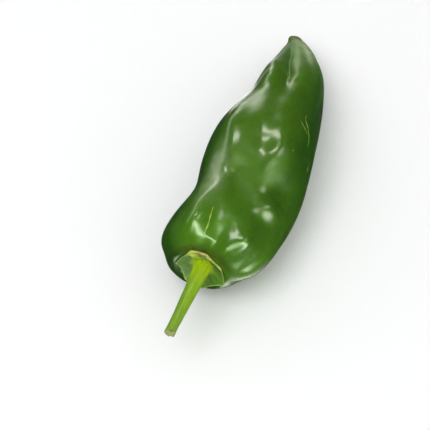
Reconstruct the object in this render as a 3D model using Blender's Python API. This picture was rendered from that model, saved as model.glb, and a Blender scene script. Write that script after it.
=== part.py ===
# Italian frying pepper, as picked: a long lobed pod lying on its side, its dished calyx and its stem.
# Metres, +Z up. The pod runs along +Y from the shoulder, where the calyx sits, to the pointed tip.
# Angles round the pod and the stem are in degrees: 0 is the top, 90 is +X.

import bmesh
import bpy
import numpy as np

MM = 0.001

# Driving dimensions
POD_LENGTH = 173.5 * MM
POD_RADIUS = 28.5 * MM
CALYX_RADIUS = 12.4 * MM
STEM_LENGTH = 42 * MM
STEM_RADIUS = 2.45 * MM
GAP = 0.3 * MM

# How much of the pod's underside is flattened where it lies.
REST_CUT = 0.9 * MM

# How finely each piece is faceted
POD_RINGS = 62
POD_SIDES = 60
CALYX_UNDER_RINGS = 10
CALYX_OVER_RINGS = 12
CALYX_SIDES = 60
STEM_RINGS = 22
STEM_SIDES = 30
CURVE_STEPS = 24
SPINE_STEPS = 400

# The pod's turned profile, from the middle of the seat under the calyx, over the shoulder, to the tip:
# (share of the pod's length, share of its radius).
POD_PROFILE = [
    (0.026, 0.00), (0.025, 0.14), (0.019, 0.29), (0.007, 0.42), (-0.003, 0.53), (0.002, 0.67),
    (0.028, 0.815), (0.075, 0.90), (0.15, 0.935), (0.25, 0.93), (0.35, 0.975), (0.44, 0.98),
    (0.54, 0.91), (0.65, 0.79), (0.75, 0.665), (0.84, 0.535), (0.90, 0.385), (0.945, 0.235),
    (0.972, 0.135), (0.985, 0.095), (0.996, 0.075), (1.0, 0.00),
]

# The pod's middle line: (share of the length, sideways in mm, height in mm).
SPINE = [
    (-0.05, 0.0, 26.0), (0.03, 0.5, 26.2), (0.12, 3.5, 26.4), (0.28, 7.0, 25.9), (0.42, 8.5, 26.6),
    (0.58, 9.5, 24.8), (0.74, 10.0, 20.6), (0.86, 8.6, 16.2), (0.94, 4.6, 14.0), (0.98, 1.2, 13.2),
    (1.02, -2.6, 12.8),
]

# The furrows between the lobes: (angles, half width in degrees, depths as a share of the radius). Angles and
# depths are given at places spaced evenly from the shoulder to the tip.
FURROWS = [
    ((-6, 5, 1, -25), 18, (0.10, 0.13, 0.13, 0.21)),
    ((112, 106, 84, 62), 17, (0.05, 0.04, 0.06, 0.16)),
    ((184, 180, 178, 150), 18, (0.10, 0.05, 0.06, 0.14)),
    ((-92, -84, -92, -116), 18, (0.06, 0.06, 0.05, 0.14)),
]

# Single swellings and dents: (place along the pod in mm, angle, half length in mm, half width in degrees,
# height in mm, less than nothing for a dent).
SWELLINGS = [
    (47, 20, 9, 20, -1.7),
    (33, 46, 8, 20, -1.5),
    (37, -72, 14, 36, -3.1),
    (60, 48, 12, 22, 0.9),
    (88, -28, 12, 20, 1.2),
    (20, -40, 10, 22, 0.9),
    (20, 28, 10, 18, 0.9),
    (41, 98, 22, 38, 5.0),
    (4, 98, 20, 28, 3.4),
    (109, -74, 16, 42, -3.1),
    (138, 11, 30, 13, 1.0),
]

# The seat under the calyx stays round and smooth: shares of the pod's radius.
SEAT_SHARE = 0.5
SEAT_FADE = 0.25

# The lobes stand forward of the furrows on the shoulder's crest: shares of the pod's radius and length.
CREST_SHARE = 0.72
CREST_WIDTH = 0.2
CREST_END = 0.2
CREST_LIFT = 22 * MM

# The shoulder leans back below the calyx: how far, the cosine of the angle where that starts, and the share
# of the pod's length over which it fades.
SHOULDER_LEAN = 5 * MM
LEAN_START = 0.35
LEAN_FADE = 0.3

# The calyx's two faces, from its middle out: (share of its rim's radius, place along Y in mm).
CALYX_UNDER = [(0.0, 4.0), (0.3, 3.8), (0.6, 2.8), (0.85, 0.9), (0.96, -0.6), (1.0, -1.6)]
CALYX_OVER = [(0.0, 2.4), (0.42, 2.4), (0.62, 1.5), (0.82, -0.2), (0.93, -1.6), (0.97, -2.0)]

# The calyx's rim: how far its blunt points stand out, the angle of the first, the one that is folded in, and
# the side that is fuller. Heights are shares of its radius.
CALYX_POINTS = 5
POINT_HEIGHT = 0.06
POINT_ANGLE = -23
FOLD_HEIGHT = 0.12
FOLD_ANGLE = 49
FOLD_WIDTH = 30
FULLER_HEIGHT = 0.06
FULLER_ANGLE = 160

# The stem: (share of its length, share of its radius), its ribs, and how far its end strays sideways and up.
STEM_PROFILE = [
    (0.0, 1.75), (0.06, 1.6), (0.16, 1.3), (0.35, 1.08), (0.6, 0.98), (0.85, 0.98), (0.96, 1.06),
    (1.0, 1.1),
]
STEM_RIBS = 5
RIB_HEIGHT = 0.05
STEM_SIDEWAYS = -1.5 * MM
STEM_RISE = 1.0 * MM


def smooth_through(points, count):
    """Points spaced evenly along one smooth curve through the given ones."""
    points = np.array(points, float)
    padded = np.vstack([2 * points[0] - points[1], points, 2 * points[-1] - points[-2]])
    fine = []
    for a, b, c, d in zip(padded, padded[1:], padded[2:], padded[3:]):
        for t in np.linspace(0, 1, CURVE_STEPS, endpoint=False):
            bend = (2 * a - 5 * b + 4 * c - d) * t**2 + (3 * b - a - 3 * c + d) * t**3
            fine.append(b + 0.5 * ((c - a) * t + bend))
    fine = np.array([*fine, points[-1]])
    run = np.concatenate([[0], np.cumsum(np.linalg.norm(np.diff(fine, axis=0), axis=1))])
    places = np.linspace(0, run[-1], count)
    return np.column_stack([np.interp(places, run, column) for column in fine.T])


def eased(share, values):
    """The value at each share from 0 to 1, moving gently between the given ones, which are spaced evenly."""
    values = np.array(values, float)
    place = np.clip(share, 0, 1) * (len(values) - 1)
    step = np.minimum(place.astype(int), len(values) - 2)
    part = place - step
    return values[step] + (values[step + 1] - values[step]) * part**2 * (3 - 2 * part)


def turned_from(angle, middle):
    """The angle from middle, from -180 to 180."""
    return (angle - middle + 180) % 360 - 180


def hump(off, half):
    """A smooth hump, 1 where off is nothing."""
    return np.exp(-((off / half) ** 2))


def spine_at(share):
    """How far sideways and how high the pod's middle line is at each share of its length."""
    line = smooth_through(np.array(SPINE) * [1, MM, MM], SPINE_STEPS)
    return [np.interp(share, line[:, 0], column) for column in line.T[1:]]


def around(middle, radius, angle):
    """Points at each radius and angle round a middle, across the Y axis."""
    turn = np.radians(angle)
    return middle + np.stack([radius * np.sin(turn), np.zeros_like(turn), radius * np.cos(turn)], axis=-1)


def pod_ring(length, radius, angle):
    """The pod's skin at one place on its profile, at each angle."""
    share = np.full_like(angle, length / POD_LENGTH)
    outside = radius / POD_RADIUS
    lobed = min(1, outside / SEAT_SHARE) ** 2
    skin = np.clip((outside - SEAT_SHARE) / SEAT_FADE, 0, 1) if length < LEAN_FADE * POD_LENGTH else 1
    furrowed = np.zeros_like(angle)
    for middles, half_width, depths in FURROWS:
        furrowed += eased(share, depths) * hump(turned_from(angle, eased(share, middles)), half_width) * lobed
    reach = radius * (1 - furrowed)
    for place, middle, half_length, half_width, height in SWELLINGS:
        near = hump(length / MM - place, half_length) * hump(turned_from(angle, middle), half_width)
        reach += height * MM * near * skin
    crest = hump(outside - CREST_SHARE, CREST_WIDTH) * (share < CREST_END)
    under = np.maximum(LEAN_START - np.cos(np.radians(angle)), 0) * np.clip(1 - share / LEAN_FADE, 0, 1)
    along = length + crest * furrowed * CREST_LIFT + under * skin * SHOULDER_LEAN
    sideways, height = spine_at(share)
    return around(np.stack([sideways, along, height], axis=-1), reach, angle)


def closed_mesh(name, rings, first, last):
    """A closed skin of equal rings of points, its two ends closed on single points."""
    mesh = bpy.data.meshes.new(name)
    work = bmesh.new()
    rows = [[work.verts.new(p) for p in ring] for ring in rings]
    ends = [work.verts.new(first), work.verts.new(last)]
    sides = len(rows[0])
    for j in range(sides):
        k = (j + 1) % sides
        work.faces.new((ends[0], rows[0][k], rows[0][j]))
        work.faces.new((ends[1], rows[-1][j], rows[-1][k]))
        for low, high in zip(rows, rows[1:]):
            work.faces.new((low[j], low[k], high[k], high[j]))
    bmesh.ops.recalc_face_normals(work, faces=work.faces)
    if work.calc_volume(signed=True) < 0:
        bmesh.ops.reverse_faces(work, faces=work.faces)
    bmesh.ops.triangulate(work, faces=work.faces)
    work.to_mesh(mesh)
    work.free()
    mesh.shade_smooth()
    return bpy.data.objects.new(name, mesh)


def finish_with(item, name, colour, roughness):
    material = bpy.data.materials.new(name)
    material.use_nodes = True
    shader = material.node_tree.nodes["Principled BSDF"]
    shader.inputs["Base Color"].default_value = (*colour, 1)
    shader.inputs["Roughness"].default_value = roughness
    shader.inputs["Metallic"].default_value = 0
    item.data.materials.append(material)
    return item


def angles_of(sides):
    return np.arange(sides) * 360 / sides


def make_pod():
    profile = smooth_through(np.array(POD_PROFILE) * [POD_LENGTH, POD_RADIUS], POD_RINGS + 2)
    rings = [pod_ring(length, radius, angles_of(POD_SIDES)) for length, radius in profile]
    floor = min(ring[:, 2].min() for ring in rings) + REST_CUT
    for ring in rings:
        ring[:, 2] = np.maximum(ring[:, 2], floor)
    pod = closed_mesh("pod", rings[1:-1], rings[0][0], rings[-1][0])
    return finish_with(pod, "green_skin", (0.06, 0.16, 0.015), 0.3)


def shoulder_middle():
    """The point on the pod's middle line that the calyx and the stem are built round."""
    sideways, height = spine_at(0.0)
    return np.array([sideways, 0, height])


def calyx_rim(angle):
    """The radius of the calyx's outline at each angle."""
    points = POINT_HEIGHT * np.cos(np.radians(CALYX_POINTS * (angle - POINT_ANGLE)))
    folded = FOLD_HEIGHT * hump(turned_from(angle, FOLD_ANGLE), FOLD_WIDTH)
    fuller = FULLER_HEIGHT * np.cos(np.radians(angle - FULLER_ANGLE))
    return CALYX_RADIUS * (1 + points - folded + fuller)


def calyx_face(profile, count):
    """The rings of one face of the calyx, from its middle out, and the point at its middle."""
    angle = angles_of(CALYX_SIDES)
    steps = smooth_through(profile, count)
    middles = [shoulder_middle() + [0, y * MM, 0] for share, y in steps]
    rings = [around(middle, calyx_rim(angle) * share, angle) for middle, share in zip(middles, steps[:, 0])]
    return rings[1:], middles[0]


def make_calyx():
    """A thin dish on the pod's seat: a flat middle that carries the stem, and a rim curled off the skin."""
    under, under_middle = calyx_face(CALYX_UNDER, CALYX_UNDER_RINGS)
    over, over_middle = calyx_face(CALYX_OVER, CALYX_OVER_RINGS)
    calyx = closed_mesh("calyx", under + over[::-1], under_middle, over_middle)
    return finish_with(calyx, "calyx_green", (0.16, 0.26, 0.08), 0.55)


def make_stem():
    """A ribbed stalk, flared where it leaves the calyx and a little thicker at its cut end."""
    start = shoulder_middle() + [0, CALYX_OVER[0][1] * MM - GAP, 0]
    angle = angles_of(STEM_SIDES)
    ribbed = 1 + RIB_HEIGHT * np.cos(np.radians(STEM_RIBS * angle))
    rings = []
    for share, width in smooth_through(STEM_PROFILE, STEM_RINGS):
        middle = start + [STEM_SIDEWAYS * share**2, -STEM_LENGTH * share, STEM_RISE * share]
        rings.append(around(middle, STEM_RADIUS * width * ribbed, angle))
    stem = closed_mesh("stem", rings, rings[0].mean(axis=0), rings[-1].mean(axis=0))
    return finish_with(stem, "stem_green", (0.30, 0.45, 0.03), 0.45)


def stand_on_origin(parts):
    """Parents the parts to an empty that puts the middle of their box's base on the origin."""
    corners = np.array([v.co for part in parts for v in part.data.vertices])
    low, high = corners.min(axis=0), corners.max(axis=0)
    pepper = bpy.data.objects.new("pepper", None)
    bpy.context.scene.collection.objects.link(pepper)
    pepper.location = (-(low[0] + high[0]) / 2, -(low[1] + high[1]) / 2, -low[2])
    for part in parts:
        bpy.context.scene.collection.objects.link(part)
        part.parent = pepper


for item in list(bpy.data.objects):
    bpy.data.objects.remove(item)
stand_on_origin([make_pod(), make_calyx(), make_stem()])
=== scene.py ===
# Italian frying pepper on a white table, in soft studio light.

import math

import bpy
import numpy as np
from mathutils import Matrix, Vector, noise


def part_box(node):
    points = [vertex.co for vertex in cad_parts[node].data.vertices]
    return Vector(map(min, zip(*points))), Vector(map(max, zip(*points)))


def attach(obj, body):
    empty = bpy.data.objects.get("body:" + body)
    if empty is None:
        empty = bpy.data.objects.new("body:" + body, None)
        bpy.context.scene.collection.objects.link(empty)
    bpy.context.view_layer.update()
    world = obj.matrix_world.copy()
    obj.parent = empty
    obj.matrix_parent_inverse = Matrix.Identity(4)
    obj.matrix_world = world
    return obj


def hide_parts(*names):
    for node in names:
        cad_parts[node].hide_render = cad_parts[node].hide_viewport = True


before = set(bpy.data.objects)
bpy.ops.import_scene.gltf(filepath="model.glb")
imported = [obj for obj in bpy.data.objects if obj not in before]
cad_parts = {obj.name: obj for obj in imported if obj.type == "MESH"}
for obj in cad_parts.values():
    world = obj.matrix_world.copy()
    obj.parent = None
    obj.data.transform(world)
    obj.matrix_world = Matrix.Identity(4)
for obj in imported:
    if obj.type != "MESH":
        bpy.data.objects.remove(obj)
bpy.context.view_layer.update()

mm = 0.001

# Shapes

curveSteps = 24  # how finely a curve between two given points is followed


def smoothThrough(points, count):
    points = np.array(points, float)
    padded = np.vstack([2 * points[0] - points[1], points, 2 * points[-1] - points[-2]])
    fine = []
    for a, b, c, d in zip(padded, padded[1:], padded[2:], padded[3:]):
        for t in np.linspace(0, 1, curveSteps, endpoint=False):
            bend = (2 * a - 5 * b + 4 * c - d) * t**2 + (3 * b - a - 3 * c + d) * t**3
            fine.append(b + 0.5 * ((c - a) * t + bend))
    fine = np.array([*fine, points[-1]])
    run = np.concatenate([[0], np.cumsum(np.linalg.norm(np.diff(fine, axis=0), axis=1))])
    places = np.linspace(0, run[-1], count)
    return np.column_stack([np.interp(places, run, column) for column in fine.T])


def eased(share, values):  # moves gently between evenly spaced values
    values = np.array(values, float)
    place = np.clip(share, 0, 1) * (len(values) - 1)
    step = np.minimum(place.astype(int), len(values) - 2)
    part = place - step
    return values[step] + (values[step + 1] - values[step]) * part**2 * (3 - 2 * part)


def turnedFrom(angle, middle):  # degrees, from -180 to 180
    return (angle - middle + 180) % 360 - 180


def hump(off, half):
    return np.exp(-((off / half) ** 2))


def around(middle, radius, angle):  # 0 degrees is up, 90 is +X
    turn = np.radians(angle)
    return middle + np.stack([radius * np.sin(turn), np.zeros_like(turn), radius * np.cos(turn)], axis=-1)


def roughly(points, size, seed):  # smooth noise from -1 to 1 at each point, in lumps of about that size
    shift = Vector((seed * 7.3, seed * 3.1, seed * 5.7))
    flat = points.reshape(-1, 3) / size
    return np.array([noise.noise(Vector(p) + shift) for p in flat]).reshape(points.shape[:-1])


def normalsOf(points):  # of a grid of rings that close on themselves
    alongRing = np.roll(points, -1, axis=1) - np.roll(points, 1, axis=1)
    acrossRings = np.gradient(points, axis=0)
    normals = np.cross(alongRing, acrossRings)
    return normals / np.maximum(np.linalg.norm(normals, axis=-1, keepdims=True), 1e-12)


def closedTube(name, points, shares, values=None):  # rings of points, each end drawn to one point
    rings, sides = points.shape[:2]
    ends = [points[0].mean(axis=0), points[-1].mean(axis=0)]
    vertices = np.vstack([points.reshape(-1, 3), ends])
    faces, places = [], []
    for j in range(sides):
        k = (j + 1) % sides
        u, v = j / sides, (j + 1) / sides
        for i in range(rings - 1):
            faces.append((i * sides + j, i * sides + k, (i + 1) * sides + k, (i + 1) * sides + j))
            places.append(((u, shares[i]), (v, shares[i]), (v, shares[i + 1]), (u, shares[i + 1])))
        last = (rings - 1) * sides
        faces.append((rings * sides, k, j))
        places.append(((u, shares[0]), (v, shares[0]), (u, shares[0])))
        faces.append((rings * sides + 1, last + j, last + k))
        places.append(((u, shares[-1]), (u, shares[-1]), (v, shares[-1])))
    mesh = bpy.data.meshes.new(name)
    mesh.from_pydata(vertices.tolist(), [], faces)
    layer = mesh.uv_layers.new(name="around")
    layer.data.foreach_set("uv", np.array([xy for face in places for xy in face], np.float32).ravel())
    for label, grid in (values or {}).items():
        held = mesh.attributes.new(label, "FLOAT", "POINT")
        numbers = np.append(grid.ravel(), [grid[0].mean(), grid[-1].mean()])
        held.data.foreach_set("value", numbers.astype(np.float32))
    mesh.shade_smooth()
    mesh.update()
    piece = bpy.data.objects.new(name, mesh)
    bpy.context.scene.collection.objects.link(piece)
    return piece


# Shader maths

class Wire:  # one output of a node, to be used in sums
    def __init__(self, tree, socket=None):
        self.tree, self.socket = tree, socket

    def node(self, kind, settings=None, sockets=None, out=0):
        made = self.tree.nodes.new(kind)
        for name, value in (settings or {}).items():
            if name == "stops":
                ramp = made.color_ramp.elements
                while len(ramp) < len(value):
                    ramp.new(0.5)
                for stop, (place, colour) in zip(ramp, value):
                    stop.position, stop.color = place, (*colour, 1)
            else:
                setattr(made, name, value)
        for name, value in (sockets or {}).items():
            if isinstance(value, Wire):
                self.tree.links.new(value.socket, made.inputs[name])
            else:
                made.inputs[name].default_value = value
        return Wire(self.tree, made.outputs[out] if len(made.outputs) else None)

    def math(self, operation, *values, clamp=False):
        settings = {"operation": operation, "use_clamp": clamp}
        return self.node("ShaderNodeMath", settings, dict(enumerate(values)))

    def __add__(self, other):
        return self.math("ADD", self, other)

    def __sub__(self, other):
        return self.math("SUBTRACT", self, other)

    def __mul__(self, other):
        return self.math("MULTIPLY", self, other)

    def __rsub__(self, other):
        return self.math("SUBTRACT", other, self)

    __radd__ = __add__
    __rmul__ = __mul__

    def clip(self):
        return self.math("ADD", self, 0.0, clamp=True)

    def cosine(self):  # of a share of a full turn
        return self.math("COSINE", self * (2 * math.pi))

    def ramp(self, low, high, fromValue=0.0, toValue=1.0):  # smooth steps between two values
        sockets = {"Value": self, "From Min": low, "From Max": high, "To Min": fromValue, "To Max": toValue}
        return self.node("ShaderNodeMapRange", {"interpolation_type": "SMOOTHSTEP"}, sockets)

    def mix(self, first, second):  # two colours by this mask
        return self.node("ShaderNodeMix", {"data_type": "RGBA"}, {0: self, 6: first, 7: second}, out=2)

    def stretched(self, x, y, z):  # a vector, scaled each way
        return self.node("ShaderNodeVectorMath", {"operation": "MULTIPLY"}, {0: self, 1: (x, y, z)})

    def part(self, index):
        return self.node("ShaderNodeSeparateXYZ", {}, {0: self}, out=index)

    def clouds(self, scale, detail=3.0, rough=0.5):
        sockets = {"Vector": self, "Scale": scale, "Detail": detail, "Roughness": rough}
        return self.node("ShaderNodeTexNoise", {}, sockets)


def newMaterial(name):
    material = bpy.data.materials.new(name)
    material.use_nodes = True
    material.node_tree.nodes.clear()
    return material, Wire(material.node_tree)


def finishShader(start, sockets):
    shader = start.node("ShaderNodeBsdfPrincipled", {}, sockets)
    start.node("ShaderNodeOutputMaterial", {}, {"Surface": shader})


def colour(red, green, blue):
    return (red, green, blue, 1)


# The pod

pod = {
    "length": 173.5 * mm,
    "radius": 28.5 * mm,
    "rings": 380,
    "sides": 256,
    "restCut": 0.9 * mm,
    # From the middle of the seat, over the shoulder, to the tip: share of the length, share of the radius
    "profile": [
        (0.026, 0.00), (0.025, 0.13), (0.020, 0.25), (0.009, 0.36), (-0.003, 0.43), (-0.009, 0.52),
        (-0.003, 0.67), (0.028, 0.815), (0.075, 0.90), (0.15, 0.935), (0.25, 0.93), (0.35, 0.975),
        (0.44, 0.98), (0.54, 0.91), (0.65, 0.79), (0.75, 0.665), (0.84, 0.535), (0.90, 0.385), (0.945, 0.235),
        (0.970, 0.155), (0.981, 0.13), (0.989, 0.095), (0.992, 0.05), (0.993, 0.00),
    ],
    # The middle line: share of the length, sideways in mm, height in mm
    "spine": [
        (-0.05, 0.0, 26.0), (0.03, 0.5, 26.2), (0.12, 3.5, 26.4), (0.28, 7.0, 25.9), (0.42, 8.5, 26.6),
        (0.58, 9.5, 24.8), (0.74, 10.0, 20.6), (0.86, 8.6, 16.2), (0.94, 4.6, 14.0), (0.98, 1.2, 13.2),
        (1.02, -2.6, 12.8),
    ],
    # Angles, half widths in degrees and depths as a share of the radius, evenly spaced from shoulder to tip.
    # The first was fitted to the sheens and differs from the solid's
    "furrows": [
        ((11, 13, 4, 1, 4, -3, -40, -48), (21.2, 14.4, 22.0, 14.8, 21.2, 9.5, 15.6, 15.9),
         (0.189, 0.175, 0.196, 0.133, 0.104, 0.160, 0.240, 0.237)),
        ((112, 106, 84, 62), (17, 17), (0.05, 0.04, 0.06, 0.16)),
        ((184, 180, 178, 150), (18, 18), (0.10, 0.05, 0.06, 0.14)),
        ((-92, -84, -92, -116), (18, 18), (0.06, 0.06, 0.05, 0.14)),
    ],
    # Place in mm, angle, half length in mm, half width in degrees, height in mm. The first four are in the
    # solid too. The others are in this skin alone: they were fitted to the photo's sheens together with the
    # mirrored patches, so their heights are guesses
    "swellings": [
        (37, -72, 14, 36, -3.1),
        (41, 98, 22, 38, 5.0),
        (4, 98, 20, 28, 3.4),
        (109, -74, 16, 42, -3.1),
        (-6, 33, 19.1, 11, 3.47),
        (-4, 10, 10.4, 16, 4.72),
        (-1, 56, 6.5, 12, -1.47),
        (2, 21, 14.7, 10, -0.86),
        (4, 27, 7.6, 19, -0.77),
        (8, -13, 11.3, 14, 4.79),
        (9, 47, 7.3, 11, 3.68),
        (10, 72, 13.6, 10, -3.03),
        (10, 35, 7.8, 10, -1.05),
        (11, 69, 9.9, 10, 2.45),
        (12, 58, 8.0, 14, -0.04),
        (13, -24, 6.9, 11, -0.74),
        (18, 13, 10.8, 16, 2.85),
        (19, -6, 14.4, 36, -2.93),
        (21, -22, 13.0, 12, 4.29),
        (25, 48, 15.5, 12, 0.35),
        (28, 13, 13.5, 10, 1.43),
        (35, 55, 7.3, 17, 5.86),
        (36, -33, 7.9, 10, 1.04),
        (37, 50, 18.4, 33, -7.38),
        (45, -43, 15.3, 15, 0.37),
        (47, -13, 10.0, 11, -2.31),
        (50, -18, 11.6, 12, 3.04),
        (56, -51, 11.3, 13, -0.54),
        (56, -26, 25.5, 13, -3.06),
        (59, 13, 6.5, 12, -0.95),
        (59, 35, 9.3, 13, -2.57),
        (60, 39, 20.8, 15, 3.72),
        (60, 6, 13.9, 19, 2.30),
        (65, -26, 12.9, 11, 3.13),
        (66, 28, 15.8, 10, 2.44),
        (68, 19, 7.1, 19, -3.16),
        (70, 27, 24.0, 12, -1.56),
        (70, 22, 9.8, 11, 1.02),
        (75, 42, 6.5, 25, -2.00),
        (79, -33, 11.9, 10, 2.66),
        (83, 0, 8.8, 11, 0.81),
        (117, 17, 8.5, 14, -2.72),
        (121, -26, 9.5, 16, 4.02),
        (121, 38, 33.7, 12, -2.51),
        (134, -39, 9.4, 18, 3.33),
        (138, -18, 27.2, 34, -4.81),
        (146, -10, 14.1, 28, -2.42),
        (150, 31, 15.1, 26, -5.45),
        (161, 44, 33.4, 24, 2.77),
    ],
    "seatShare": 0.5,
    "seatFade": 0.25,
    # Where the skin is stained brown round the calyx
    "collarShare": 0.60,
    "collarWidth": 0.055,
    "collarReach": 0.04,
    "collarAngle": 12,
    "collarHalfWidth": 65,
    "crestShare": 0.72,
    "crestWidth": 0.2,
    "crestEnd": 0.2,
    "crestLift": 22 * mm,
    "shoulderLean": 5 * mm,
    "leanStart": 0.35,
    "leanFade": 0.3,
    "tipFade": 0.3,
    # Unevenness of the skin: size of the lumps and their height, both in mm
    "unevenness": [(24, 0.10), (9, 0.04), (3.2, 0.015)],
    # The seat and the nub stay smooth: how far the seat's part reaches, the nub's share, and the fade
    "seatReach": 0.3,
    "nubShare": 0.1,
    "unevenFade": 0.3,
    # The sides are painted darker, as painted shade: the lightest angle, the cosine of the turn from it where
    # the painted shade starts, and how much further it is full
    "lightestAngle": 2,
    "shadeStart": 0.99,
    "shadeWidth": 0.40,
    # The shoulder on +X is spared the painted shade: its angle, half width in degrees and length in mm
    "sparedAngle": 80,
    "sparedHalfWidth": 50,
    "sparedLength": 75,
    # Painted sheen, pale patches painted on the skin as a painted reflection: place in mm, angle, half length in
    # mm, half width in degrees, how thick
    "bloom": [
        (128, -66, 24, 20, 0.42),
        (161, 31, 15, 41, 0.66),
        (52, -31, 9, 9, 0.30),
        (41, -27, 9, 10, 0.38),
        (30, -21, 9, 9, 0.44),
    ],
    # Where it is dull: the same, but from nothing to 1
    "dull": [
        (52, -38, 22, 12, 0.7),
        (24, -30, 16, 11, 0.6),
    ],
}
spineLine = smoothThrough(np.array(pod["spine"]) * [1, mm, mm], 400)


def spineAt(share):
    return [np.interp(share, spineLine[:, 0], column) for column in spineLine.T[1:]]


def podGrid(length, radius, angle):  # the skin at each place and angle, and how furrowed it is
    share = length / pod["length"]
    outside = radius / pod["radius"]
    lobed = np.minimum(1, outside / pod["seatShare"]) ** 2
    skin = np.clip((outside - pod["seatShare"]) / pod["seatFade"], 0, 1)
    skin = np.where(share < pod["leanFade"], skin, np.clip(outside / pod["tipFade"], 0, 1))
    furrowed = np.zeros_like(share)
    for middles, halfWidths, depths in pod["furrows"]:
        near = hump(turnedFrom(angle, eased(share, middles)), eased(share, halfWidths))
        furrowed += eased(share, depths) * near * lobed
    reach = radius * (1 - furrowed)
    for place, middle, halfLength, halfWidth, height in pod["swellings"]:
        near = hump(length / mm - place, halfLength) * hump(turnedFrom(angle, middle), halfWidth)
        reach += height * mm * near * skin
    crest = hump(outside - pod["crestShare"], pod["crestWidth"])
    crest = crest * np.clip(2 - 2 * share / pod["crestEnd"], 0, 1)
    under = np.maximum(pod["leanStart"] - np.cos(np.radians(angle)), 0)
    under = under * np.clip(1 - share / pod["leanFade"], 0, 1)
    along = length + crest * furrowed * pod["crestLift"] + under * skin * pod["shoulderLean"]
    sideways, height = spineAt(share)
    return around(np.stack([sideways, along, height], axis=-1), reach, angle), furrowed


def makePod():
    profile = smoothThrough(np.array(pod["profile"]) * [pod["length"], pod["radius"]], pod["rings"] + 2)[1:-1]
    turns = np.arange(pod["sides"]) * 360 / pod["sides"]
    length, angle = np.meshgrid(profile[:, 0], turns, indexing="ij")
    radius = np.repeat(profile[:, 1:], pod["sides"], axis=1)
    points, furrowed = podGrid(length, radius, angle)
    normals = normalsOf(points)
    if (normals[:, :, 2] * np.cos(np.radians(angle))).mean() < 0:
        normals = -normals
    bare = np.where(length < pod["seatReach"] * pod["length"], pod["seatShare"], pod["nubShare"])
    uneven = np.clip((radius / pod["radius"] - bare) / pod["unevenFade"], 0, 1)
    for i, (size, height) in enumerate(pod["unevenness"]):
        points = points + normals * (roughly(points / mm, size, i + 1) * height * mm * uneven)[..., None]
    points[:, :, 2] = np.maximum(points[:, :, 2], points[:, :, 2].min() + pod["restCut"])
    low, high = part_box("pod")
    across = (points[:, :, 0].min() + points[:, :, 0].max()) / 2
    offset = np.array([(low.x + high.x) / 2 - across, high.y - pod["length"], low.z - points[:, :, 2].min()])
    points += offset
    shares = profile[:, 0] / pod["length"]
    collar = hump(radius / pod["radius"] - pod["collarShare"], pod["collarWidth"])
    collar = collar * (length < pod["collarReach"] * pod["length"])
    collar = collar * hump(turnedFrom(angle, pod["collarAngle"]), pod["collarHalfWidth"])
    # Painted shade: the sides get a darker colour by their angle, except the shoulder on +X
    turned = np.cos(np.radians(angle - pod["lightestAngle"]))
    shaded = np.clip((pod["shadeStart"] - turned) / pod["shadeWidth"], 0, 1)
    spared = hump(turnedFrom(angle, pod["sparedAngle"]), pod["sparedHalfWidth"])
    spared = spared * np.clip(1 - length / mm / pod["sparedLength"], 0, 1)
    shaded = shaded * (1 - spared)
    values = {"furrow": furrowed, "collar": collar, "shaded": shaded}
    # Where the painted sheen lies, and where the skin is duller
    for label in ("bloom", "dull"):
        values[label] = np.zeros_like(length)
        for place, middle, halfLength, halfWidth, thick in pod[label]:
            near = hump(length / mm - place, halfLength) * hump(turnedFrom(angle, middle), halfWidth)
            values[label] += thick * near
    piece = closedTube("podSkin", points, shares, values)
    return piece, offset, points, normalsOf(points), shares


print("pod")
podSkin, offset, skinPoints, skinNormals, skinShares = makePod()


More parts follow.
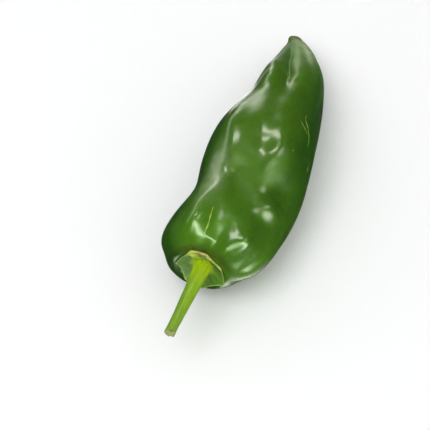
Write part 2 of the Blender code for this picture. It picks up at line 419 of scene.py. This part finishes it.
def greenSkin():
    material, start = newMaterial("greenSkin")
    place = start.node("ShaderNodeTexCoord", out=3)
    grown = start.node("ShaderNodeUVMap", {"uv_map": "around"})
    along = grown.part(1)
    furrow = start.node("ShaderNodeAttribute", {"attribute_name": "furrow"}, out=2)
    patches = place.clouds(38, 3).ramp(0.35, 0.65)
    mottle = place.clouds(160, 4, 0.6).ramp(0.3, 0.7)
    streaks = place.stretched(1, 0.12, 1).clouds(420, 3).ramp(0.35, 0.7)
    fine = place.clouds(1500, 2, 0.7)
    speckle = place.clouds(560, 4, 0.65)
    base = patches.mix(colour(0.044, 0.124, 0.002), colour(0.056, 0.148, 0.0025))
    base = (mottle * 0.35).mix(base, colour(0.070, 0.170, 0.004))
    base = (streaks * 0.22).mix(base, colour(0.036, 0.105, 0.002))
    # Darker in the furrows: painted shade
    base = (furrow.ramp(0.0, 0.16) * 0.4).mix(base, colour(0.036, 0.106, 0.002))
    base = (along.ramp(0.26, 0.0) * 0.6).mix(base, colour(0.072, 0.225, 0.004))
    # The sides painted darker: painted shade
    shaded = start.node("ShaderNodeAttribute", {"attribute_name": "shaded"}, out=2)
    base = ((shaded + (patches - 0.5) * 0.2).clip() * 0.95).mix(base, colour(0.007, 0.052, 0.001))
    base = (speckle.ramp(0.35, 0.7) * (0.30 - shaded * 0.18)).mix(base, colour(0.078, 0.190, 0.005))
    base = (fine.ramp(0.35, 0.7) * 0.30).mix(base, colour(0.026, 0.088, 0.002))
    # Pale patches painted on as sheen, in wisps: painted reflection
    bloom = start.node("ShaderNodeAttribute", {"attribute_name": "bloom"}, out=2)
    wisps = place.clouds(140, 4, 0.6).ramp(0.3, 0.7)
    base = (bloom * (0.6 + wisps * 0.8)).mix(base, colour(0.28, 0.36, 0.19))
    stain = start.node("ShaderNodeAttribute", {"attribute_name": "collar"}, out=2)
    blots = place.clouds(420, 3, 0.6).ramp(0.35, 0.65)
    base = (stain.ramp(0.05, 0.8) * (0.4 + blots * 0.6) * 0.75).mix(base, colour(0.058, 0.056, 0.010))
    nub = (along + (blots - 0.5) * 0.008).ramp(0.958, 0.972)
    base = nub.mix(base, colour(0.080, 0.105, 0.018))
    base = (along + (blots - 0.5) * 0.004).ramp(0.984, 0.992).mix(base, colour(0.050, 0.034, 0.012))
    cloudy = place.clouds(70, 3).ramp(0.3, 0.7)
    waxy = start.node("ShaderNodeAttribute", {"attribute_name": "dull"}, out=2)
    waxy = (waxy + along.ramp(0.60, 0.80)).clip()
    roughness = 0.27 + cloudy * 0.06 + fine * 0.04 + waxy * 0.12 + nub * 0.15
    pores = place.clouds(1000, 3, 0.6)
    waves = place.clouds(250, 3)
    height = pores * 0.045 + waves * 0.12
    bump = start.node("ShaderNodeBump", {}, {"Strength": 0.4, "Distance": 0.6 * mm, "Height": height})
    finishShader(start, {
        "Base Color": base, "Roughness": roughness, "Normal": bump,
        "IOR": 1.4, "Specular IOR Level": 0.35,
        "Coat Weight": 0.6 - waxy * 0.55, "Coat Roughness": 0.15, "Coat IOR": 1.45,
    })
    return material


podSkin.data.materials.append(greenSkin())

# Scars on the skin

scars = {
    # Paths along the skin: place in mm, angle; then the widest place and how far it stands out
    "long": (
        [(20.5, -6.5), (16.5, -4.5), (12.5, -2), (9, 0), (5.5, 0.5), (2.8, 0.5), (0.8, 1)], 1.1 * mm, 0.10 * mm,
    ),
    "forkStem": ([(78, 60.5), (82, 58), (86, 53), (89, 49), (92.5, 45), (96, 45.5)], 0.75 * mm, 0.09 * mm),
    "forkLeft": ([(84, 52), (86, 46), (88, 41.5), (89.5, 38.5)], 0.6 * mm, 0.08 * mm),
    "nick": ([(67.3, 42), (68.3, 42)], 0.6 * mm, 0.12 * mm),
    "speck": ([(66.6, 73.5), (69.8, 72.5)], 1.0 * mm, 0.15 * mm),
    "speckLow": ([(41, 56), (42, 57)], 0.6 * mm, 0.12 * mm),
    "rings": 48,
    "sides": 10,
    "root": 0.3 * mm,  # how deep they go into the skin
    "wobble": 0.25,
    "wobbles": 19,
}


def onSkin(grid, length, angle):  # the value of a grid at a place on the skin
    first = skinShares.argmin()
    rows = np.arange(len(skinShares) - first)
    row = first + np.interp(length * mm / pod["length"], skinShares[first:], rows)
    column = (angle % 360) / 360 * pod["sides"]
    i, j = row.astype(int), column.astype(int)
    a, b = (row - i)[:, None], (column - j)[:, None]
    k = (j + 1) % pod["sides"]
    near = grid[i, j] * (1 - b) + grid[i, k] * b
    far = grid[i + 1, j] * (1 - b) + grid[i + 1, k] * b
    return near * (1 - a) + far * a


def makeScar(name, path, width, height):
    steps = smoothThrough(path, scars["rings"])
    middle = onSkin(skinPoints, steps[:, 0], steps[:, 1])
    normal = onSkin(skinNormals, steps[:, 0], steps[:, 1])
    forward = np.gradient(middle, axis=0)
    side = np.cross(normal, forward)
    side /= np.linalg.norm(side, axis=1, keepdims=True)
    share = np.linspace(0, 1, scars["rings"])
    wobble = 1 - scars["wobble"] + scars["wobble"] * np.sin(share * scars["wobbles"] + len(name))
    taper = np.sin(np.pi * share) ** 0.5 * wobble
    turn = np.linspace(0, 2 * np.pi, scars["sides"], endpoint=False)
    across = np.cos(turn) * width / 2
    upward = np.where(np.sin(turn) > 0, np.sin(turn) * height, np.sin(turn) * scars["root"])
    points = middle[:, None] + taper[:, None, None] * (
        across[None, :, None] * side[:, None] + upward[None, :, None] * normal[:, None])
    return closedTube(name, points, share)


def scarTissue():
    material, start = newMaterial("scarTissue")
    place = start.node("ShaderNodeTexCoord", out=3)
    patches = place.clouds(600, 3).ramp(0.3, 0.7)
    base = patches.mix(colour(0.16, 0.29, 0.015), colour(0.28, 0.38, 0.06))
    grain = place.clouds(1800, 3)
    bump = start.node("ShaderNodeBump", {}, {"Strength": 0.4, "Distance": 0.1 * mm, "Height": grain})
    finishShader(start, {"Base Color": base, "Roughness": 0.4 + patches * 0.15, "Normal": bump})
    return material


print("scars")
healed = scarTissue()
for name, kind in (("longScar", "long"), ("forkedScarStem", "forkStem"), ("forkedScarArm", "forkLeft"),
                   ("nick", "nick"), ("speckSide", "speck"), ("speckLow", "speckLow")):
    mark = makeScar(name, *scars[kind])
    mark.data.materials.append(healed)
    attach(mark, "root")

# The calyx

calyx = {
    "sides": 288,
    # The rim's corners: angle, how far out in mm
    "corners": [(-84, 12.2), (-14, 17.2), (16, 15.4), (52, 14.6), (113, 14.4), (177, 14.3), (215, 12.7)],
    "cornerBlunt": 3.5,  # degrees
    # Share of the rim's radius, place along Y in mm
    "under": [(0.0, 4.0), (0.3, 3.8), (0.6, 2.8), (0.85, 0.9), (0.95, -0.7), (0.985, -1.45), (1.0, -1.9)],
    "over": [
        (0.0, 2.4), (0.42, 2.4), (0.62, 1.7), (0.80, 0.3), (0.90, -1.0), (0.955, -1.95), (0.98, -2.3), (1.0, -1.9),
    ],
    "underRings": 24,
    "overRings": 84,
    "rimGap": 0.35 * mm,  # from the skin
    "thickness": 0.5 * mm,
    "ribs": [-84, -14, 52, 113, 138, 165, 195],
    "ribHeight": 1.3 * mm,
    "ribWidth": 6,
    "ribPlace": (0.60, 0.24),  # shares of the rim's radius: the middle and the half width
    "beadHeight": 0.35 * mm,  # the dried edge at the upper right
    "beadMiddle": 30,
    "beadHalfWidth": 40,
    "beadPlace": (0.93, 0.035),
    "panelSag": 0.7 * mm,
    "panelTurn": 30,
    "panelPlace": (0.8, 0.2),
    "veinHeight": 0.10 * mm,
    "veinPlace": (0.75, 0.22),
    "ragged": 0.5 * mm,
}


def calyxRim(angle):  # straight edges between blunt corners
    fine = np.arange(0, 360, 0.5)
    turns, outs = np.array(sorted((turn % 360, out) for turn, out in calyx["corners"])).T
    turns = np.concatenate([[turns[-1] - 360], turns, [turns[0] + 360]])
    outs = np.concatenate([[outs[-1]], outs, [outs[0]]])
    step = np.searchsorted(turns, fine, side="right") - 1
    before, after = np.radians(fine - turns[step]), np.radians(turns[step + 1] - fine)
    rim = outs[step] * outs[step + 1] * np.sin(before + after)
    rim = rim / (outs[step] * np.sin(before) + outs[step + 1] * np.sin(after))
    spread = hump(turnedFrom(fine, 0), calyx["cornerBlunt"])
    rim = np.real(np.fft.ifft(np.fft.fft(rim) * np.fft.fft(spread / spread.sum())))
    return np.interp(angle % 360, np.append(fine, 360), np.append(rim, rim[0])) * mm


def shoulderMiddle():
    sideways, height = spineAt(0.0)
    return offset + [sideways, 0, height]


def skinBehind(angle, out):  # how far along Y the skin is, straight behind a place on the rim
    profile = smoothThrough(np.array(pod["profile"]) * [pod["length"], pod["radius"]], 400)
    seat = profile[: profile[:, 1].searchsorted(0.6 * pod["radius"])]
    grid, _ = podGrid(np.interp(out, seat[:, 1], seat[:, 0]), out, angle)
    return grid[..., 1]


def calyxFace(profile, count, clear):
    steps = smoothThrough(profile, count)
    angle = np.tile(np.arange(calyx["sides"]) * 360 / calyx["sides"], (count, 1))
    share = np.repeat(steps[:, :1], calyx["sides"], axis=1)
    rim = calyxRim(angle)
    rise = skinBehind(angle, rim) - calyx["rimGap"] - calyx["under"][-1][1] * mm
    along = steps[:, 1:] * mm + rise * np.clip(share, 0, 1) ** 4
    along = np.minimum(along, skinBehind(angle, rim * share) - clear)
    points = around(shoulderMiddle() + np.stack([0 * share, along, 0 * share], axis=-1), rim * share, angle)
    return points, share, angle


def foldCalyx(points, share, angle):
    def placed(key):
        middle, half = calyx[key]
        return hump(share - middle, half)

    nearest = np.min([np.abs(turnedFrom(angle, rib)) for rib in calyx["ribs"]], axis=0)
    ribs = calyx["ribHeight"] * hump(nearest, calyx["ribWidth"] / np.maximum(share, 0.3)) * placed("ribPlace")
    sag = calyx["panelSag"] * np.clip(nearest / calyx["panelTurn"], 0, 1) * placed("panelPlace")
    veins = calyx["veinHeight"] * roughly(np.stack([angle / 5, share * 2, 0 * share], axis=-1), 1, 12)
    veins = veins * placed("veinPlace")
    bead = calyx["beadHeight"] * placed("beadPlace")
    bead = bead * hump(turnedFrom(angle, calyx["beadMiddle"]), calyx["beadHalfWidth"])
    points[..., 1] -= ribs - sag + veins + bead
    points[..., 1] += roughly(points / mm, 3.5, 11) * calyx["ragged"] * np.clip(share - 0.5, 0, 1) ** 1.5
    return points


def makeCalyx():
    under, underShare, _ = calyxFace(calyx["under"], calyx["underRings"], calyx["rimGap"])
    clear = calyx["rimGap"] + calyx["thickness"]
    over, overShare, angle = calyxFace(calyx["over"], calyx["overRings"], clear)
    over = foldCalyx(over, overShare, angle)
    behind = skinBehind(angle, calyxRim(angle) * overShare) - calyx["rimGap"] - calyx["thickness"]
    over[..., 1] = np.minimum(over[..., 1], shoulderMiddle()[1] + behind)
    points = np.concatenate([under[1:-1], over[:0:-1]])
    shares = np.concatenate([-underShare[1:-1, 0], overShare[:0:-1, 0]])
    return closedTube("calyxDish", points, shares)


print("calyx")
calyxDish = makeCalyx()


def calyxGreen():
    material, start = newMaterial("calyxGreen")
    place = start.node("ShaderNodeTexCoord", out=3)
    across = start.node("ShaderNodeUVMap", {"uv_map": "around"})
    share = across.part(1)
    turn = across.part(0)
    patches = place.clouds(170, 3).ramp(0.35, 0.65)
    lines = across.stretched(46, 1.2, 1).clouds(1.0, 3, 0.6).ramp(0.4, 0.62)
    grain = place.clouds(1500, 3)

    def near(angle, low, high):  # 0 to 1 towards that angle round the dish
        return (turn - angle / 360).cosine().ramp(low, high)

    green = near(110, -0.1, 0.5)
    base = green.mix(colour(0.145, 0.28, 0.066), colour(0.09, 0.23, 0.008))
    base = (patches * 0.4).mix(base, green.mix(colour(0.10, 0.20, 0.045), colour(0.13, 0.29, 0.010)))
    base = (lines * 0.6).mix(base, green.mix(colour(0.07, 0.13, 0.04), colour(0.045, 0.13, 0.005)))
    base = (grain * 0.2).mix(base, colour(0.20, 0.31, 0.07))
    vein = near(-12, 0.975, 0.995) * share.ramp(0.99, 0.93)
    base = vein.mix(base, colour(0.38, 0.54, 0.03))
    # Darker in the crease beside the stem, under the rim: painted shade
    creaseShade = near(64, 0.86, 0.985) * share.ramp(0.92, 0.84)
    base = (creaseShade * 0.75).mix(base, colour(0.045, 0.105, 0.008))
    crusty = near(30, 0.45, 0.9)
    rim = (share + crusty * 0.05).ramp(0.945, 0.975)
    base = rim.mix(base, crusty.mix(colour(0.30, 0.46, 0.12), colour(0.50, 0.47, 0.16)))
    crack = share.ramp(0.895, 0.915) * share.ramp(0.955, 0.935) * crusty
    crack = crack * place.clouds(420, 2).ramp(0.4, 0.55)
    dry = (rim * place.clouds(330, 2).ramp(0.5, 0.65) * 0.6 + crack).clip()
    base = dry.mix(base, colour(0.24, 0.14, 0.035))
    base = share.ramp(0.60, 0.38).mix(base, colour(0.34, 0.50, 0.03))
    roughness = 0.5 + grain * 0.15
    height = grain * 0.3 + lines * 0.7
    bump = start.node("ShaderNodeBump", {}, {"Strength": 0.5, "Distance": 0.15 * mm, "Height": height})
    finishShader(start, {
        "Base Color": base, "Roughness": roughness, "Normal": bump, "Specular IOR Level": 0.3,
    })
    return material


calyxDish.data.materials.append(calyxGreen())

# The stem

stem = {
    "length": 42 * mm,
    "radius": 2.45 * mm,
    "gap": 0.3 * mm,
    "rings": 220,
    "sides": 96,
    "profile": [
        (0.0, 1.95), (0.02, 1.82), (0.06, 1.74), (0.16, 1.58), (0.35, 1.40), (0.6, 1.2), (0.85, 1.06),
        (0.96, 1.08), (0.995, 1.1), (1.0, 1.04), (0.998, 0.85), (0.994, 0.6), (0.996, 0.3), (0.996, 0.02),
    ],
    "ribs": 5,
    "ribHeight": 0.05,
    "foot": (1.3 * mm, 0, 0.8 * mm),  # off the middle of the shoulder
    "sideways": -2.2 * mm,
    "bend": 1.1,
    "rise": 1.0 * mm,
    "strands": 0.12 * mm,
    "ragged": 0.9 * mm,  # the torn end
}


def makeStem():
    steps = smoothThrough(stem["profile"], stem["rings"])
    angle, share = np.meshgrid(np.arange(stem["sides"]) * 360 / stem["sides"], steps[:, 0])
    width = np.repeat(steps[:, 1:], stem["sides"], axis=1)
    start = shoulderMiddle() + [0, (calyx["over"][0][1] * mm) - stem["gap"], 0]
    ribbed = 1 + stem["ribHeight"] * np.cos(np.radians(stem["ribs"] * angle))
    bent = stem["sideways"] * share ** stem["bend"]
    middle = np.stack([bent, -stem["length"] * share, stem["rise"] * share], axis=-1) + start
    middle = middle + np.array(stem["foot"]) * (1 - share[..., None])
    points = around(middle, stem["radius"] * width * ribbed, angle)
    strands = roughly(points / mm * [1, 0.06, 1], 0.55, 21)
    strands = strands + 0.6 * roughly(points / mm * [1, 0.2, 1], 1.6, 22)
    points += around(np.zeros(3), strands * stem["strands"] * np.minimum(width, 1), angle)
    torn = roughly(points / mm * [1, 0, 1], 1.3, 23) + 0.5 * roughly(points / mm * [1, 0, 1], 0.5, 24)
    points[..., 1] += torn * stem["ragged"] * np.clip(share * 30 - 29, 0, 1)
    order = np.where(np.arange(stem["rings"]) > steps[:, 0].argmax(), 2 - steps[:, 0], steps[:, 0])
    return closedTube("stemStalk", points, order)


print("stem")
stemStalk = makeStem()


def stemGreen():
    material, start = newMaterial("stemGreen")
    place = start.node("ShaderNodeTexCoord", out=3)
    grown = start.node("ShaderNodeUVMap", {"uv_map": "around"})
    along = grown.part(1)
    strands = place.stretched(1, 0.05, 1).clouds(1500, 3, 0.6).ramp(0.35, 0.65)
    patches = place.stretched(1, 0.4, 1).clouds(180, 3).ramp(0.35, 0.7)
    grain = place.clouds(2500, 2)
    # Yellow-green at the base and greener further out; the base is also painted lighter than its own colour, as
    # painted light
    base = along.ramp(0.0, 0.35).mix(colour(0.60, 0.80, 0.010), colour(0.22, 0.40, 0.007))
    base = along.ramp(0.4, 0.85).mix(base, colour(0.17, 0.31, 0.020))
    base = (patches * 0.4).mix(base, colour(0.34, 0.50, 0.012))
    base = (strands * 0.5).mix(base, colour(0.10, 0.23, 0.006))
    # One side of the stem painted darker, further from the base: painted shade
    left = (grown.part(0) + 0.25).cosine().ramp(0.1, 0.9)
    base = (left * along.ramp(0.1, 0.4) * 0.6).mix(base, colour(0.06, 0.17, 0.005))
    cut = along.ramp(0.985, 0.999)
    base = cut.mix(base, colour(0.34, 0.39, 0.14))
    skin = along.ramp(0.975, 0.995) * along.ramp(1.004, 1.0) * place.clouds(420, 2).ramp(0.4, 0.6)
    base = skin.clip().mix(base, colour(0.17, 0.13, 0.06))
    roughness = 0.38 + strands * 0.12 + cut * 0.3
    height = strands * 0.7 + grain * 0.3
    bump = start.node("ShaderNodeBump", {}, {"Strength": 0.5, "Distance": 0.12 * mm, "Height": height})
    finishShader(start, {
        "Base Color": base, "Roughness": roughness, "Normal": bump, "Specular IOR Level": 0.3,
    })
    return material


stemStalk.data.materials.append(stemGreen())

for piece, node, slot in (
    (podSkin, "pod", "green_skin"), (calyxDish, "calyx", "calyx_green"), (stemStalk, "stem", "stem_green"),
):
    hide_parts(node)
    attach(piece, "root")

# The studio

studio = {
    "floorSize": 6.0,
    "floor": (0.955, 0.96, 0.965),
    "dome": 0.75,  # even light from all round, which no gloss mirrors
    "softbox": {"azimuth": -150, "elevation": 60, "distance": 1.6, "size": 1.0, "radiance": 3.1},
    "room": 0.03,  # what the gloss mirrors all round, and the tint of all that it mirrors
    "tint": (1.03, 1.04, 0.90),
    # Soft patches that the gloss mirrors too, fitted to the sheens: azimuths from +Y towards +X, elevations, how
    # soft the edges are, and how bright
    "mirrored": [
        (-85, -11, 12, 27, 4.4, 3.6),
        (-26, -17, -45, 25, 2.6, 2.7),
        (38, 74, 48, 66, 4.8, 6.1),
        (103, 126, -12, 69, 10.6, 16.1),
        (-45, 2, 59, 65, 2.0, 21.3),
        (113, 194, 46, 107, 17.3, 9.0),
        (41, 178, -89, -60, 4.0, 1.6),
        (17, 21, -37, -21, 2.1, 0.9),
        (76, 146, -90, -34, 8.0, 0.8),
    ],
}


def direction(azimuth, elevation):  # degrees from +Y towards +X, and above the table
    turn, lift = math.radians(azimuth), math.radians(elevation)
    return Vector((math.sin(turn) * math.cos(lift), math.cos(turn) * math.cos(lift), math.sin(lift)))


def makeFloor():
    mesh = bpy.data.meshes.new("floor")
    half = studio["floorSize"] / 2
    corners = [(-half, -half, 0), (half, -half, 0), (half, half, 0), (-half, half, 0)]
    mesh.from_pydata(corners, [], [(0, 1, 2, 3)])
    floor = bpy.data.objects.new("floor", mesh)
    bpy.context.scene.collection.objects.link(floor)
    material, start = newMaterial("paleTable")
    finishShader(start, {"Base Color": colour(*studio["floor"]), "Roughness": 0.6, "Specular IOR Level": 0.2})
    floor.data.materials.append(material)
    floor.visible_glossy = False


def makeRoom():
    world = bpy.data.worlds.new("room")
    bpy.context.scene.world = world
    world.use_nodes = True
    world.node_tree.nodes.clear()
    world.cycles.sampling_method = "NONE"
    start = Wire(world.node_tree)
    way = start.node("ShaderNodeTexCoord", out=0)
    azimuth = way.part(0).math("ARCTAN2", way.part(0), way.part(1)) * (180 / math.pi)
    elevation = way.math("ARCSINE", way.part(2)) * (180 / math.pi)
    light = start.math("ADD", studio["room"], 0)
    for left, right, low, high, soft, bright in studio["mirrored"]:
        across = azimuth.ramp(left - soft, left + soft) * azimuth.ramp(right + soft, right - soft)
        upward = elevation.ramp(low - soft, low + soft) * elevation.ramp(high + soft, high - soft)
        light = light + across * upward * bright
    mirrored = start.node("ShaderNodeLightPath", out=3)
    light = mirrored.mix(colour(*[studio["dome"]] * 3), light.stretched(*studio["tint"]))
    shader = start.node("ShaderNodeBackground", {}, {"Color": light, "Strength": 1.0})
    start.node("ShaderNodeOutputWorld", {}, {"Surface": shader})


def makeSoftbox():
    box = studio["softbox"]
    light = bpy.data.lights.new("softbox", "AREA")
    light.size = box["size"]
    light.energy = box["radiance"] * math.pi * box["size"] ** 2
    lamp = bpy.data.objects.new("softbox", light)
    bpy.context.scene.collection.objects.link(lamp)
    back = direction(box["azimuth"], box["elevation"])
    lamp.location = back * box["distance"]
    lamp.rotation_mode = "QUATERNION"
    lamp.rotation_quaternion = back.to_track_quat("Z", "Y")
    lamp.visible_camera = False
    lamp.visible_glossy = False


camera = {
    "azimuth": 17.4, "elevation": 54, "distance": 0.75, "lens": 125.58,
    "aim": (-0.01004, -0.03323, 0.025),
}


def makeCamera():
    data = bpy.data.cameras.new("camera")
    data.lens = camera["lens"]
    data.sensor_width = 36
    data.clip_start = 0.01
    made = bpy.data.objects.new("camera", data)
    bpy.context.scene.collection.objects.link(made)
    back = direction(camera["azimuth"], camera["elevation"])
    back.y = -back.y
    made.location = Vector(camera["aim"]) + back * camera["distance"]
    made.rotation_mode = "QUATERNION"
    made.rotation_quaternion = (-back).to_track_quat("-Z", "Y")
    bpy.context.scene.camera = made


print("studio")
makeFloor()
makeRoom()
makeSoftbox()
makeCamera()
bpy.context.scene.view_settings.view_transform = "Standard"
